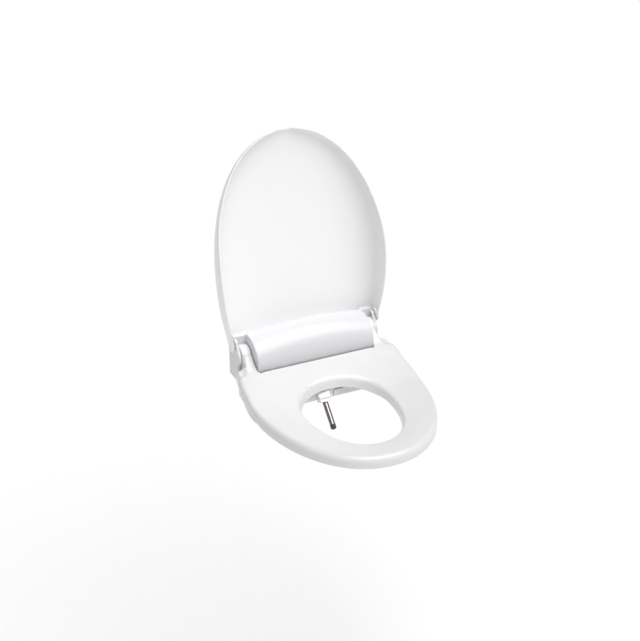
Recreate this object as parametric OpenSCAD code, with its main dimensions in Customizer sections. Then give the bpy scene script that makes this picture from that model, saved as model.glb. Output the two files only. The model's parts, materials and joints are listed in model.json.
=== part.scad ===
// Electric bidet seat: washing and drying toilet seat with a hinged lid, a hinged heated seat ring,
// a housing bolted to the bowl and a sliding wash wand. Millimetres. The origin is midway between the
// two bowl bolt holes on the plane the base stands on; +X right seen from the front, -Y front, +Z up.

/* [Seat] */
// Half of the seat's greatest width
seat_half_w = 191.5; // [170:0.5:200]
// Distance from the bolt line to the seat's front tip
seat_tip = 425; // [400:1:480]
// Distance from the bolt line to the widest point
seat_widest = 139; // [110:1:170]
// Squareness of the seat's front curve
seat_n = 2.1; // [2:0.05:2.6]
// Half width where the ears end
seat_rear_w = 179; // [160:0.5:190]
// Height of the seat's upper edge at the front
seat_top_z = 40.5; // [34:0.5:50]
// Height of the seat's lower edge at the front
seat_low_z = 16; // [10:0.5:24]
// Half width of the hole in the seat
hole_half_w = 99; // [85:0.5:115]
// Seat skin thickness
seat_wall = 3; // [2:0.1:5]
// Width of the gap that each ear keeps to the cover, from the middle
ear_x = 138; // [120:0.5:150]
// Seat hinge height
seat_axis_z = 82.3; // [70:0.1:95]

/* [Lid] */
// How far the lid is tipped back past upright
lid_back = 22; // [10:0.5:30]
// Lid hinge distance behind the bolt line
lid_axis_y = 7; // [0:0.5:25]
// Lid hinge height
lid_axis_z = 112; // [95:0.5:120]
// Lid skin thickness
lid_wall = 3; // [2:0.1:4]
// Height of the closed lid over the hinge
lid_rear_z = 149; // [146:0.5:160]
// Height of the closed lid near its front
lid_front_z = 70; // [60:1:90]

/* [Housing] */
// Half length of the cover
cover_half = 166; // [150:0.5:175]
// Crest height of the cover
cover_top = 141; // [130:0.5:146]
// Radius of the cover's rolled front
cover_r = 58.2; // [50:0.1:62]
// Height of the joint between base and cover
split_z = 24; // [20:0.5:35]
// Housing skin thickness
skin = 2.8; // [2:0.1:4]
// Distance between the bowl bolt holes
bolt_pitch = 140; // [120:1:160]
// Bowl bolt clearance radius
bolt_r = 4.25; // [3:0.05:6]

/* [Wash wand] */
// Wand radius
wand_r = 6.3; // [5:0.1:8]
// Slope of the wand below level
wand_tilt = 31.3; // [20:0.1:50]
// Sideways turn of the wand
wand_turn = 5.4; // [-10:0.1:10]
// Reach of the wand out of its hood
wand_out = 70.5; // [50:0.5:90]

/* [Hidden] */
$fn = 48;
front_len = seat_tip - seat_widest;
root = [-14.3, -125, 5.6];
hole_yc = -207.5;
hole_front = 155.5;
hole_rear = 89;

// ---- shared curves ----
function clampv(v, a, b) = min(max(v, a), b);
function rise(y) = pow(clampv((y + 196) / 134, 0, 1.6), 1.8);
// height of the seat's upper edge at depth y
function edge_z(y) = seat_top_z + 28 * rise(y);
// height of the seat's lower edge: it climbs over the wand in the middle and stays low at the sides
function under_mid(y) = seat_low_z + 43 * pow(clampv((y + 172) / 115, 0, 1.3), 1.7);
function under_side(y) = seat_low_z + 13 * pow(clampv((y + 192) / 50, 0, 1), 1.3);
function under_z(x, y) = let (b = clampv((abs(x) - 128) / 14, 0, 1)) under_mid(y) * (1 - b) + under_side(y) * b;
// share of the full edge height left at a point, and a height below the upper edge that keeps that share
function room(x, y) = clampv((edge_z(y) - under_z(x, y)) / 24.5, 0.1, 1.35);
function drop(x, y, dz, m) = edge_z(y) - m + (dz + m) * room(x, y);
function half_w(y) = y < -seat_widest
  ? seat_half_w * pow(max(1 - pow((-y - seat_widest) / front_len, seat_n), 0), 1 / seat_n)
  : seat_half_w - (seat_half_w - seat_rear_w) * pow((y + seat_widest) / 119, 2);

// seat's outer loop, running from the rear middle round the left side and back
rear_y = -58.2;
corner = 12;
function side_pts(i) = concat(
  [for (x = [25, 50, 75, 100, 126, 144]) [x, rear_y - i]],
  [for (k = [0:4]) let (a = 90 - k * 22.5, w = half_w(rear_y - corner) - i)
    [w - corner + corner * cos(a), rear_y - i - corner + corner * sin(a)]],
  [for (k = [1:4]) let (y = rear_y - corner - i + (-seat_widest - rear_y + corner) * k / 4)
    [half_w(y) - i, y]],
  [for (k = [1:20]) let (t = 90 * pow(k / 20.5, 0.94))
    [(seat_half_w - i) * pow(cos(t), 2 / seat_n), -seat_widest - (front_len - i) * pow(sin(t), 2 / seat_n)]]);
function outer_loop(i) = let (s = side_pts(i), m = concat([[0, rear_y - i]], s, [[0, -seat_tip + i]]))
  concat(m, [for (k = [len(s) - 1:-1:0]) [-s[k][0], s[k][1]]]);
nl = len(outer_loop(0));
// hole's loop, matched point for point with the outer one by direction
function hole_pt(u, i) = let (yc = hole_yc, b = u[1] > yc ? hole_rear - i : hole_front - i, a = hole_half_w - i,
  d = atan2((u[1] - yc) / b, u[0] / a), c = cos(d), s = sin(d), q = pow(pow(abs(c), 2.15) + pow(abs(s), 2.15), -1 / 2.15))
  [a * c * q, yc + b * s * q];
function hole_loop(i) = [for (p = outer_loop(0)) hole_pt(p, i)];

// ---- mesh helpers ----
module wrap(rings) {
  m = len(rings); n = len(rings[0]);
  polyhedron([for (r = rings) each r],
    [for (j = [0:m - 1], i = [0:n - 1]) [j * n + i, j * n + (i + 1) % n,
      ((j + 1) % m) * n + (i + 1) % n, ((j + 1) % m) * n + i]], convexity = 8);
}
module loft(rings) {
  m = len(rings); n = len(rings[0]);
  polyhedron([for (r = rings) each r],
    concat([for (j = [0:m - 2], i = [0:n - 1]) [j * n + i, j * n + (i + 1) % n,
      (j + 1) * n + (i + 1) % n, (j + 1) * n + i]],
      [[for (i = [n - 1:-1:0]) i]], [[for (i = [0:n - 1]) (m - 1) * n + i]]), convexity = 8);
}
module slab(size, at, r = 2) translate([at[0], at[1], at[2]])
  linear_extrude(size[2]) union() {
    translate([-size[0] / 2 + r, -size[1] / 2]) square([size[0] - 2 * r, size[1]]);
    translate([-size[0] / 2, -size[1] / 2 + r]) square([size[0], size[1] - 2 * r]);
    for (x = [-1, 1], y = [-1, 1]) translate([x * (size[0] / 2 - r), y * (size[1] / 2 - r)]) circle(r);
  }
module bar_x(x0, x1, y, z, r) translate([x0, y, z]) rotate([0, 90, 0]) cylinder(r = r, h = x1 - x0);
module sides() { children(); mirror([1, 0, 0]) children(); }
module on_wand() translate(root) rotate([0, 0, -wand_turn]) rotate([90 + wand_tilt, 0, 0]) children();

// ---- seat ----
function mixp(a, b, t) = [a[0] + (b[0] - a[0]) * t, a[1] + (b[1] - a[1]) * t];
// rings of the seat's section: near the outer edge, near the hole, or a share f of the way between
function out_ring(i, dz, m = 0) = [for (p = outer_loop(i)) [p[0], p[1], drop(p[0], p[1], dz, m)]];
function out_low(i, dz) = [for (p = outer_loop(i)) [p[0], p[1], under_z(p[0], p[1]) + dz]];
function in_ring(i, dz, m = 0) = [for (p = hole_loop(i)) [p[0], p[1], drop(p[0], p[1], dz - 2, m)]];
function in_low(i, dz) = [for (p = hole_loop(i)) [p[0], p[1], under_z(p[0], p[1]) + dz]];
function mid_low(f, dz) = let (a = outer_loop(4), b = hole_loop(-1.3))
  [for (k = [0:nl - 1]) let (p = mixp(a[k], b[k], f)) [p[0], p[1], under_z(p[0], p[1]) + dz]];
function mid_ring(i, j, f, dz) = let (a = outer_loop(i), b = hole_loop(j))
  [for (k = [0:nl - 1]) let (p = mixp(a[k], b[k], f)) [p[0], p[1], edge_z(p[1]) + dz]];

function ear_top(y) = y > -20 ? seat_axis_z + sqrt(676 - y * y) : let (t = clampv((y + 96) / 76, 0, 1),
  t2 = t * t, t3 = t2 * t) (2 * t3 - 3 * t2 + 1) * edge_z(-96) + (t3 - 2 * t2 + t) * 76 * 0.35
  + (3 * t2 - 2 * t3) * 98.9 + (t3 - t2) * 76 * 1.1;
function ear_low(y) = 30 + (y > -40 ? (y + 40) * 0.3 : 0);
module seat_ears() color([0.95, 0.95, 0.96]) sides() difference() {
  union() {
    // body of the ear, behind the ring's rear corner
    loft([for (y = [-31, -38, -46, -52, -58.3])
      let (w = half_w(y) - 2.4, zt = ear_top(y) + 0.5, zb = ear_low(y), sh = edge_z(y) - 5, x0 = ear_x + 0.4)
      [[x0, y, zb], [x0, y, zt - 2.5], [x0 + 3, y, zt], [w - 26, y, zt], [w - 19, y, zt - 1.2],
        [w - 14, y, min(sh + 7, zt - 4)], [w - 7, y, min(sh - 1, zt - 10)], [w, y, min(sh - 7, zt - 20)], [w, y, zb]]]);
    // neck and round knuckle
    translate([ear_x, 0, 0]) rotate([90, 0, 90]) linear_extrude(21.5) polygon(concat([[-50, 31.5]],
      [for (y = [-50:6:-24]) [y, ear_top(y) - 0.8]],
      [for (a = [140:-10:-90]) [26 * cos(a), seat_axis_z + 26 * sin(a)]], [[-12, 46], [-34, 33.5]]));
  }
  bar_x(ear_x - 1, ear_x + 30, 0, seat_axis_z, 8);
  // room for the lid's hinge when the seat stands up
  translate([158.5, -43, 75.5]) cube([30, 12.5, 40]);
  translate([170, -44.5, 70.5]) cube([30, 15, 40]);
}
module seat_top_shell() color([0.95, 0.95, 0.96])
  wrap([out_low(0.6, 0), out_ring(0.2, -15), out_ring(1.4, -9), out_ring(4.5, -4.4), out_ring(9, -1.4),
      out_ring(15, 0), mid_ring(15, -12, 0.3, 1.2), mid_ring(15, -12, 0.7, 0.9), in_ring(-11, 1), in_ring(-5, -1.2),
      in_ring(-1.4, -4.6), in_ring(0, -10), in_low(3, 0), in_low(3 - seat_wall, 0), in_ring(-3.4, -11, 3),
      in_ring(-6, -5.6, 3), in_ring(-11.5, -2.6, 3), mid_ring(15, -12, 0.5, -2.2), out_ring(15.5, -3.2, 3),
      out_ring(8, -6, 3), out_ring(4, -11, 3), out_ring(3.4, -16, 3), out_low(0.6 + seat_wall, 0)]);
module seat_bottom_shell() color([0.9, 0.9, 0.91]) difference() {
  wrap([out_low(4, 0.2), out_low(4, 2.8), mid_low(0.15, 2.8), mid_low(0.3, 2.8), mid_low(0.45, 2.8), mid_low(0.7, 2.8),
    in_low(-1.3, 2.8), in_low(-1.3, 0.2), mid_low(0.7, 0.2), mid_low(0.45, 0.2), mid_low(0.3, 0.2), mid_low(0.15, 0.2)]);
  for (x = [-1, 1]) for (y = [-318, -202]) translate([x * (y < -300 ? 100 : 148), y, -5]) cylinder(r = 5.1, h = 40);
}
module seat_heater() color([0.75, 0.68, 0.5])
  wrap([mid_ring(15, -12, 0.25, -2.9), mid_ring(15, -12, 0.25, -3.5), mid_ring(15, -12, 0.5, -3.0), mid_ring(15, -12, 0.72, -4.1),
    mid_ring(15, -12, 0.72, -3.5), mid_ring(15, -12, 0.5, -2.4)]);
module seat_sensor() color([0.2, 0.2, 0.22]) slab([34, 20, 5], [-135, -250, seat_low_z + 2.9], 3);
module seat_bumpers() color([0.82, 0.82, 0.83]) for (x = [-1, 1]) for (y = [-318, -202])
  translate([x * (y < -300 ? 100 : 148), y, 0]) {
    cylinder(r = 10, h = 3.5); translate([0, 0, 3.5]) cylinder(r1 = 10, r2 = 8, h = seat_low_z - 4);
    cylinder(r = 5, h = seat_low_z + 5);
  }
module seat_hinge_bushes() color([0.86, 0.86, 0.87]) sides() difference() {
  union() { bar_x(ear_x + 0.4, ear_x + 21.3, 0, seat_axis_z, 8); }
  bar_x(ear_x - 1, ear_x + 30, 0, seat_axis_z, 5.05);
}

// ---- lid, drawn closed and turned up ----
lid_tip = seat_tip + 2;
function lid_w(y) = y < -lid_tip ? 0 : y > -seat_widest ? half_w(min(y, 4)) + 1.5 :
  (seat_half_w + 1.5) * pow(max(1 - pow((-y - seat_widest) / (lid_tip - seat_widest), seat_n), 0), 1 / seat_n);
function rim_z(y) = edge_z(min(y, 4)) - 3;
function dome(y) = lid_front_z + (lid_rear_z - lid_front_z) * pow(clampv((y + 415) / 427, 0, 1.2), 1.12);
// lid arch at depth y; t is the skin offset
function arch(y, t, n = 26) = let (w = max(lid_w(y) - t, 0.4), z0 = rim_z(y),
    u = clampv((-y - 250) / (lid_tip - t - 250), 0, 1), top = (dome(y) - t - z0) * pow(max(1 - pow(u, 3.2), 0), 1 / 3.2),
    e = 2.5 + 3.2 * clampv((y + 260) / 260, 0, 1))
  [for (k = [0:n]) let (a = 180 - 180 * k / n, c = cos(a), s = sin(a))
    [w * sign(c) * pow(abs(c), 2 / e), y, z0 - (t > 0 ? 6 : 0) + (max(top, 0.3) + (t > 0 ? 6 : 0)) * pow(abs(s), 2 / e)]];
lid_ys = [24, 12, 0, -20, -45, -80, -120, -165, -210, -255, -300, -335, -362, -383, -399, -410, -418, -423, -426];
module lid_solid(t) loft([for (y = lid_ys) arch(y < -300 ? y + t * (-y - 300) / 126 : y + (t > 0 && y > 20 ? 2 : 0), t)]);
module as_open() translate([0, lid_axis_y, lid_axis_z]) rotate([-(90 + lid_back), 0, 0])
  translate([0, -lid_axis_y, -lid_axis_z]) children();
module lid_shell() color([0.94, 0.94, 0.95]) as_open() difference() {
  union() {
    difference() {
      lid_solid(0); lid_solid(lid_wall);
      // rear edge, stepped so that the open lid clears the deck
      translate([-250, 0, 0]) rotate([90, 0, 90]) linear_extrude(500)
        polygon([[12, 160], [12, 143], [17, 134], [22, 124], [23.5, 115], [23.5, 108], [20, 102], [14, 98.5],
          [6, 96], [6, 80], [60, 80], [60, 160]]);
    }
    sides() bar_x(169.2, 174.2, lid_axis_y, lid_axis_z, 11);
  }
  sides() bar_x(160, 171.9, lid_axis_y, lid_axis_z, 6.5);
}
module lid_hinge_bushes() color([0.86, 0.86, 0.87]) as_open() sides() difference() {
  bar_x(168.4, 171.9, lid_axis_y, lid_axis_z, 6.5);
  bar_x(160, 180, lid_axis_y, lid_axis_z, 4.05);
}

// ---- base ----
function base_side(i) = [[134, 58 - i], [143 - i * 0.5, 55.5 - i], [148.5 - i, 50 - i * 0.6], [151.5 - i, 42], [156 - i, 22],
  [160.5 - i, 2], [165 - i, -18], [170 - i, -42], [175 - i, -67], [180 - i, -95], [182 - i, -118], [182 - i, -136],
  [179.5 - i, -147 + i * 0.6], [173 - i * 0.4, -154 + i], [164, -156.5 + i], [154 + i * 0.4, -153 + i], [143 + i * 0.5, -143 + i],
  [133 + i * 0.3, -132 + i], [123, -122.5 + i], [111, -115.5 + i], [96, -112.5 + i], [70, -112 + i]];
function base_plan(i) = let (s = base_side(i)) concat(s, [for (k = [len(s) - 1:-1:0]) [-s[k][0], s[k][1]]]);
wand_slot_w = 19;
module base_tray() color([0.9, 0.9, 0.91]) difference() {
  union() {
    difference() {
      union() {
        translate([0, 0, 1.2]) linear_extrude(split_z - 1.2 - 1.6) polygon(base_plan(0));
        linear_extrude(split_z) polygon(base_plan(1.6));
      }
      // hollow of the tray, then of the two forward arms under their deck
      translate([0, 0, 2.8 + 6]) linear_extrude(40) intersection() {
        polygon(base_plan(skin)); translate([-200, -108]) square([400, 200]); }
      translate([0, 0, 2.8]) linear_extrude(40) intersection() {
        polygon(base_plan(skin)); union() {
          for (x = [-1, 1]) translate([x < 0 ? -200 : 106, -60]) square([94, 200]);
          translate([-200, -108]) square([400, 72]); translate([-200, 26]) square([400, 80]); } }
      translate([0, 0, 2.8]) linear_extrude(split_z - 2.8 - 2.6) polygon(base_plan(skin + 1.6));
    }
    // forward arms' deck is put back outside the cover
    difference() {
      translate([0, 0, split_z - 2.6]) linear_extrude(2.6) polygon(base_plan(1.6));
      translate([-131, -160, 0]) cube([262, 260, 60]);
      translate([-150, -1, 0]) cube([300, 90, 60]);
    }
    for (x = [-1, 1]) translate([x * bolt_pitch / 2, 0, 0]) cylinder(r = 22, h = 8.8);
    for (x = [-95, 95], y = [-80, 46]) translate([x, y, 1.5]) cylinder(r = 4.5, h = split_z - 3);
  }
  // pocket for the mounting plate, bolts, outlets and side buttons
  translate([-104, -24, -1]) cube([208, 48, 5.7]);
  for (x = [-1, 1]) translate([x * bolt_pitch / 2, 0, -1]) cylinder(r = 13, h = 30);
  for (x = [-95, 95], y = [-80, 46]) translate([x, y, -1]) cylinder(r = 1.6, h = 40);
  on_wand() { translate([-wand_slot_w / 2, -11, -60]) cube([wand_slot_w, 30, 80]);
    translate([0, -3.6, -60]) cube([12, 7.2, 61]); }
  translate([14, -120, 4.4]) cube([47, 20, 14.2]);
  translate([-118, 40, 14]) rotate([-90, 0, 0]) cylinder(r = 12, h = 30);
  translate([118, 40, 14]) rotate([-90, 0, 0]) cylinder(r = 7, h = 30);
  translate([-60, 40, 10]) rotate([-90, 0, 0]) cylinder(r = 6, h = 30);
  for (y = [-8, 14]) bar_x(140, 190, y, 14, 6.3);
  translate([140, -44, 8]) cube([60, 16.6, 10]);
  for (x = [-95, 95], y = [-80, 46]) translate([x, y, -1]) cylinder(r = 3.4, h = 2.5);
  for (x = [-1, 1]) { translate([x * 170, -128, -1]) cylinder(r = 6.2, h = 2.2); translate([x * 130, 36, -1]) cylinder(r = 8.2, h = 2.2); }
}
module mounting_plate() color([0.55, 0.56, 0.58]) difference() {
  union() {
    slab([200, 42, 3.4], [0, 0, 0], 10);
    for (x = [-1, 1]) translate([x * 92, 0, 0]) slab([8, 30, 4.2], [0, 0, 0], 2);
  }
  for (x = [-1, 1]) translate([x * bolt_pitch / 2, 0, -1]) cylinder(r = 12.2, h = 10);
  for (x = [-32, 0, 32]) slab([22, 20, 10], [x, 0, -1], 6);
}
module bolt_adjusters() color([0.3, 0.31, 0.33]) for (x = [-1, 1]) translate([x * bolt_pitch / 2, 0, 0]) difference() {
  union() { cylinder(r = 12.1, h = 3.6); translate([0, 0, 3.6]) cylinder(r1 = 12.1, r2 = 10.5, h = 1.6); }
  translate([0, 0, -1]) cylinder(r = bolt_r, h = 10);
}
module base_feet() color([0.25, 0.25, 0.26]) {
  for (x = [-1, 1]) { translate([x * 170, -128, 0]) cylinder(r = 6, h = 1.2);
    translate([x * 130, 36, 0]) cylinder(r = 8, h = 1.2); }
}
module drain_plug() color([0.85, 0.85, 0.86]) translate([-60, 58.2, 10]) rotate([-90, 0, 0]) difference() {
  union() { translate([0, 0, -8]) cylinder(r = 5.9, h = 8); cylinder(r = 8, h = 3.5); }
  translate([-5, -0.7, 2]) cube([10, 1.4, 4]);
}
module cable_gland() color([0.4, 0.4, 0.42]) translate([118, 55.2, 14]) rotate([-90, 0, 0]) difference() {
  union() { translate([0, 0, -4]) cylinder(r = 6.9, h = 8); translate([0, 0, 2.9]) cylinder(r = 10, h = 6);
    translate([0, 0, -5.8]) cylinder(r = 9, h = 2.2); }
  translate([0, 0, -10]) cylinder(r = 4, h = 30);
}
module water_inlet() color([0.8, 0.7, 0.45]) translate([-118, 55.2, 14]) rotate([-90, 0, 0]) difference() {
  union() { translate([0, 0, -16]) cylinder(r = 9.8, h = 20); translate([0, 0, 3.2]) cylinder(r = 10.48, h = 12.8);
    translate([0, 0, 2.9]) cylinder(r = 14, h = 2.5, $fn = 6); }
  translate([0, 0, -20]) cylinder(r = 7.5, h = 40);
}
module inlet_strainer() color([0.7, 0.7, 0.72]) translate([-118, 55.2, 14]) rotate([-90, 0, 0]) difference() {
  union() { translate([0, 0, 4]) cylinder(r = 7.45, h = 2); translate([0, 0, -12]) cylinder(r = 5.5, h = 16); }
  translate([0, 0, -10.8]) cylinder(r = 4.7, h = 20);
}
module case_screws() color([0.6, 0.6, 0.62]) for (x = [-95, 95], y = [-80, 46]) translate([x, y, 0.2]) difference() {
  union() { cylinder(r = 3.2, h = 1.3); cylinder(r = 1.55, h = 16); }
  for (a = [0, 90]) rotate(a) translate([-2, -0.4, -1]) cube([4, 0.8, 1.8]);
}

// ---- cover ----
function crest(x) = let (c = clampv((abs(x) - 146) / 20, 0, 1))
  cover_top - 0.00064 * x * x - 22 * (1 - sqrt(1 - c * c));
function back_y(x) = 33.4 - 7 * clampv((abs(x) - 125) / 35, 0, 1);
function deck_y(x) = 58 - 26 * pow(clampv((abs(x) - 124) / 42, 0, 1), 2.5);
// back of the cover from the crest down to the rear deck
function back_pts(x, t, b, d, zt, y0) = concat(
  [for (k = [0:7]) let (y = y0 + (b - y0) * (1 - sin(90 - 90 * k / 7)))
    [x, y, 96 + (zt - 96) * sqrt(max(1 - pow(y / b, 2), 0))]],
  [[x, b + 0.5, 91.5 - t], [x, b + 2, 88.5 - t], [x, d - 3, 88.5 - t], [x, d, 85.5 - t], [x, d, split_z]]);
// section across the cover at x, drawn inwards by t
function cover_sec(x, t) = let (R = cover_r - t, zt = crest(x) - t, za = seat_axis_z, s0 = split_z,
    h = 1 - 0.65 * clampv((abs(x) - 110) / 24, 0, 1))
  concat([[x, -111 + t, s0], [x, -109.5 + t, max(s0 + 5 * h - t * 0.55, s0 + 0.4)],
    [x, -97 + t * 0.5, max(s0 + 11.5 * h - t * 0.55, s0 + 0.6)], [x, -56.2 + t * 0.4, s0 + 33.6 * h - t * 0.55]],
    [for (k = [0:4]) let (a = -23.5 + 23.5 * k / 4) [x, -R * cos(a), za + R * sin(a)]],
    [for (k = [1:9]) let (a = 9 * k) [x, -R * cos(a), za + (zt - za) * sin(a)]],
    back_pts(x, t, back_y(x) - t, deck_y(x) - t, zt, 0));
function flip(a) = [for (k = [len(a) - 1:-1:0]) a[k]];
module top_cover() color([0.93, 0.93, 0.94])
  loft([for (x = [-134.4, -125, -115, -105, -80, -50, -20, 0, 20, 50, 80, 105, 115, 125, 134.4])
    concat(cover_sec(x, 0), flip(cover_sec(x, skin)))]);
// end walls of the cover, each with the socket of a seat hinge pin
module cover_end_walls() color([0.93, 0.93, 0.94]) sides() difference() {
  translate([134.45, 0, 0]) rotate([90, 0, 90]) linear_extrude(2.75)
    polygon([for (p = cover_sec(137.2, 0)) [p[1], p[2]]]);
  bar_x(120, 141, 0, seat_axis_z, 5.2);
}
// parts of the cover behind the seat's ears
module cover_shoulders() color([0.93, 0.93, 0.94]) sides()
  loft([for (x = [137.25, 142, 146, 150, 154, 157, 160.2]) concat([[x, 18, split_z], [x, 18, 60.6]],
    [for (a = [-50, -30, -10, 10, 30, 48]) [x, 28.2 * cos(a), seat_axis_z + 28.2 * sin(a)]], [[x, 12, 107.8]],
    back_pts(x, 0, back_y(x), deck_y(x), crest(x), 12))]);
module cheek() difference() {
  // end cheek that carries both hinges outside the seat's ear
  translate([160.3, 0, 0]) rotate([90, 0, 90]) linear_extrude(5.7) polygon(concat(
    [for (a = [30:15:165]) [lid_axis_y + 9.5 * cos(a), lid_axis_z + 9.5 * sin(a)]],
    [for (a = [130:15:235]) [21 * cos(a), seat_axis_z + 21 * sin(a)]], [[-6, split_z + 0.2], [40, split_z + 0.2], [40, 84], [37, 88], [22, 88], [18, 96]]));
  bar_x(150, 162.8, 0, seat_axis_z, 5.2);
  bar_x(159, 170, lid_axis_y, lid_axis_z, 4);
}
module cover_end_caps() color([0.93, 0.93, 0.94]) sides() cheek();
module seat_hinge_pins() color([0.72, 0.73, 0.75]) sides() bar_x(123.5, 162.6, 0, seat_axis_z, 5);
module lid_hinge_pins() color([0.72, 0.73, 0.75]) sides() bar_x(160.4, 171.7, lid_axis_y, lid_axis_z, 3.98);
module damper_bodies() color([0.25, 0.26, 0.28]) sides() difference() {
  bar_x(112.5, 134.2, 0, seat_axis_z, 12);
  bar_x(123.4, 140, 0, seat_axis_z, 5.05);
}

// ---- water path ----
module water_tank() color([0.78, 0.8, 0.82]) {
  difference() { slab([66, 56, 56], [-74, 2, 11.8], 8); slab([60, 50, 50], [-74, 2, 14.8], 6);
    translate([-74, 2, 60]) cylinder(r = 6, h = 40); }
  for (x = [-96, -60]) translate([x, -10, 67.6]) cylinder(r = 5, h = 8.2);
}
module tank_heater() color([0.7, 0.35, 0.25]) {
  slab([60, 44, 3], [-74, 2, 8.8], 5);
  translate([-74, 2, 58]) cylinder(r = 5.9, h = 16);
  translate([-74, 2, 30]) cylinder(r = 4, h = 29);
}
module solenoid_valve() color([0.35, 0.45, 0.6]) {
  slab([21, 18, 59.2], [-120, 27, 2.8], 3);
  translate([-120, 27, 62]) cylinder(r = 8, h = 13);
  translate([-118, 36, 45]) rotate([-90, 0, 0]) cylinder(r = 5, h = 8);
}
module mixing_valve() color([0.85, 0.85, 0.86]) { translate([-28, 12, 8.8]) cylinder(r = 9, h = 37.2);
  translate([-28, 12, 45]) cylinder(r = 6, h = 13); bar_x(-40.8, -28, 12, 40, 4); }
module air_pump() color([0.3, 0.32, 0.34]) { slab([30, 26, 35.2], [-10, 40, 2.8], 5); translate([-10, 40, 38]) cylinder(r = 9, h = 16); }
function unit(a) = a / norm(a);
module tube_run(p, r) { n = len(p);
  loft([for (k = [0:n - 1]) let (a = k > 0 ? unit(p[k] - p[k - 1]) : unit(p[1] - p[0]),
      b = k < n - 1 ? unit(p[k + 1] - p[k]) : a, t = unit(a + b), u = unit(cross(t, [0.6, 1, 0.15])), v = cross(t, u),
      g = 1 / sqrt(max((1 + a * b) / 2, 0.3)))
    [for (c = [0:-30:-330]) p[k] + r * (u * cos(c) + v * sin(c) * g)]]); }
module inner_hoses() color([0.85, 0.86, 0.88]) {
  tube_run([[-118, 45.8, 45], [-118, 49.2, 47], [-118, 50, 54], [-118, 46, 68], [-108, 26, 81], [-98, 2, 88],
    [-96, -9, 85], [-96, -10, 76]], 3.4);
  tube_run([[-60, -10, 76], [-60, -10, 90], [-44, 6, 92], [-28, 12, 74], [-28, 12, 58.2]], 3.4);
}

// ---- electronics ----
module control_board() color([0.12, 0.4, 0.24]) difference() { slab([88, 46, 1.6], [64, -4, 81], 3);
  for (x = [24, 104], y = [-22, 14]) translate([x, y, 70]) cylinder(r = 1.7, h = 20); }
module board_posts() color([0.85, 0.85, 0.86]) for (x = [24, 104], y = [-22, 14]) translate([x, y, x > 50 ? 69 : 8.8]) {
  cylinder(r = 3.2, h = x > 50 ? 12 : 72.2); cylinder(r = 1.65, h = x > 50 ? 15 : 75.2); }
module board_parts() color([0.15, 0.15, 0.17]) { slab([16, 16, 2.4], [56, -6, 82.6], 1); slab([20, 10, 12], [92, 8, 82.6], 1);
  slab([12, 18, 9], [92, -14, 82.6], 1); for (x = [34, 42, 74]) translate([x, 8, 82.6]) cylinder(r = 4, h = 12);
  slab([18, 6, 7], [36, -20, 82.6], 0.8); }
module power_module() color([0.22, 0.23, 0.25]) difference() { slab([34, 60, 60.2], [112, -2, 8.8], 4);
  for (y = [-20:8:16]) translate([90, y, 20]) cube([10, 3, 30]); }

// ---- dryer ----
fan_c = [70, 14, 50];
module blower_housing() color([0.28, 0.29, 0.31]) difference() {
  union() { bar_x(56, 84, fan_c[1], fan_c[2], 30); translate([56, -30, 20]) cube([28, 44, 22]);
    translate([60, -14, 8.8]) cube([20, 30, 16]); }
  bar_x(58, 82, fan_c[1], fan_c[2], 27.5);
  bar_x(50, 60, fan_c[1], fan_c[2], 15);
  bar_x(80, 90, fan_c[1], fan_c[2], 3.05);
  translate([58, -31, 22]) cube([24, 40, 18]);
}
module blower_motor() color([0.6, 0.6, 0.62]) { bar_x(84.2, 92, fan_c[1], fan_c[2], 12); }
module dryer_fan() color([0.15, 0.15, 0.17]) difference() {
  union() { bar_x(61, 63, fan_c[1], fan_c[2], 24); bar_x(61, 84, fan_c[1], fan_c[2], 3);
    bar_x(61, 74, fan_c[1], fan_c[2], 7);
    for (a = [0:15:345]) translate([61, fan_c[1], fan_c[2]]) rotate([a, 0, 0]) translate([0, 18, -0.7]) cube([17, 6, 1.4]); }
}
module dryer_heater() color([0.75, 0.6, 0.35]) { for (x = [60:4:80]) translate([x, -27, 24]) cube([1.2, 14, 14]);
  translate([60, -21, 30]) cube([21.2, 2, 2]); }
module dryer_duct() color([0.86, 0.86, 0.87]) {
  r0 = function(x0, x1, y, z0, z1, i) [[x0 + i, y, z0 + i], [x0 + i, y, z1 - i], [x1 - i, y, z1 - i], [x1 - i, y, z0 + i]];
  difference() {
    loft([r0(56, 84, -30.3, 20, 42, 0), r0(38, 74, -56, 10, 30, 0), r0(15.5, 59.5, -84, 4.6, 18.4, 0), r0(15.5, 59.5, -108.5, 4.6, 18.4, 0)]);
    loft([r0(56, 84, -29, 20, 42, 1.6), r0(38, 74, -56, 10, 30, 1.6), r0(15.5, 59.5, -84, 4.6, 18.4, 1.6), r0(15.5, 59.5, -110, 4.6, 18.4, 1.6)]);
  }
}
module dryer_flap() color([0.9, 0.9, 0.91]) { translate([14.6, -113.4, 5]) cube([45.8, 1.6, 12.2]); bar_x(14.6, 60.4, -112.4, 17.2, 1);
  translate([24, -114.1, 7.5]) cube([27, 0.8, 1.2]); }
module deodoriser_filter() color([0.3, 0.34, 0.32]) { slab([30, 16, 40], [30, 44, 12], 3); slab([18, 3, 28], [30, 53, 18], 1.4); }

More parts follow.
